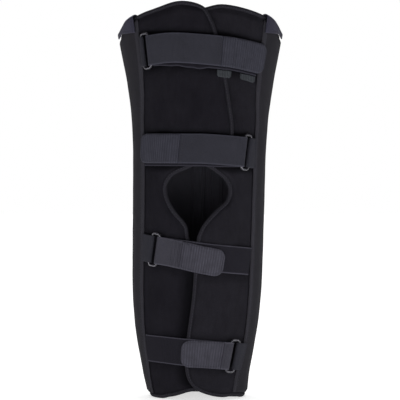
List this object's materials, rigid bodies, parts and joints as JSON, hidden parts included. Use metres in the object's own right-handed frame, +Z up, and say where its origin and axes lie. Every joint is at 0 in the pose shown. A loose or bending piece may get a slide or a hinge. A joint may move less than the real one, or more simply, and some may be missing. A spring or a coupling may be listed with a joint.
{
  "type": "knee immobilizer",
  "caption": "Tube-shaped knee immobilizer of padded panels that wrap the leg, with crossing front flaps, a kneecap opening, side bands and ring straps that fold back on themselves.",
  "frame": {"origin": "under the middle of the brace, on its lower hem: the centre of the bounding box's bottom face", "axes": "+Z up the leg, the front with the flaps and straps faces -Y, +X is the viewer's right"},
  "size_m": [0.2128, 0.1618, 0.508],
  "materials": {
    "padded_panel": "foam laminate with a matt brushed loop face",
    "binding_tape": "woven polyester edge tape",
    "side_band": "flat woven polyester, stitched",
    "shiny_webbing": "smooth nylon webbing with a sheen",
    "strap_webbing": "woven nylon strap with a loop face",
    "hook_tape": "ribbed back of nylon hook tape",
    "ring_plastic": "moulded black acetal"
  },
  "bodies": {
    "root": {"back_panel": "padded_panel", "left_flap": "padded_panel", "right_flap": "padded_panel", "binding_back_bottom": "binding_tape", "binding_back_top": "binding_tape", "binding_left": "binding_tape", "binding_right": "binding_tape", "side_band_left": "side_band", "side_band_right": "side_band", "band_cap_left": "shiny_webbing", "band_cap_right": "shiny_webbing", "back_casing_left": "side_band", "back_casing_right": "side_band", "strap_thigh": "strap_webbing", "strap_above_knee": "strap_webbing", "strap_below_knee": "strap_webbing", "strap_calf": "strap_webbing", "hook_end_thigh": "hook_tape", "hook_end_above_knee": "hook_tape", "hook_end_below_knee": "hook_tape", "hook_end_calf": "hook_tape", "ring_thigh": "ring_plastic", "ring_above_knee": "ring_plastic", "ring_below_knee": "ring_plastic", "ring_calf": "ring_plastic", "ring_tab_thigh": "strap_webbing", "ring_tab_above_knee": "strap_webbing", "ring_tab_below_knee": "strap_webbing", "ring_tab_calf": "strap_webbing", "closure_tab_left": "hook_tape", "closure_tab_right": "hook_tape"}
  },
  "joints": []
}
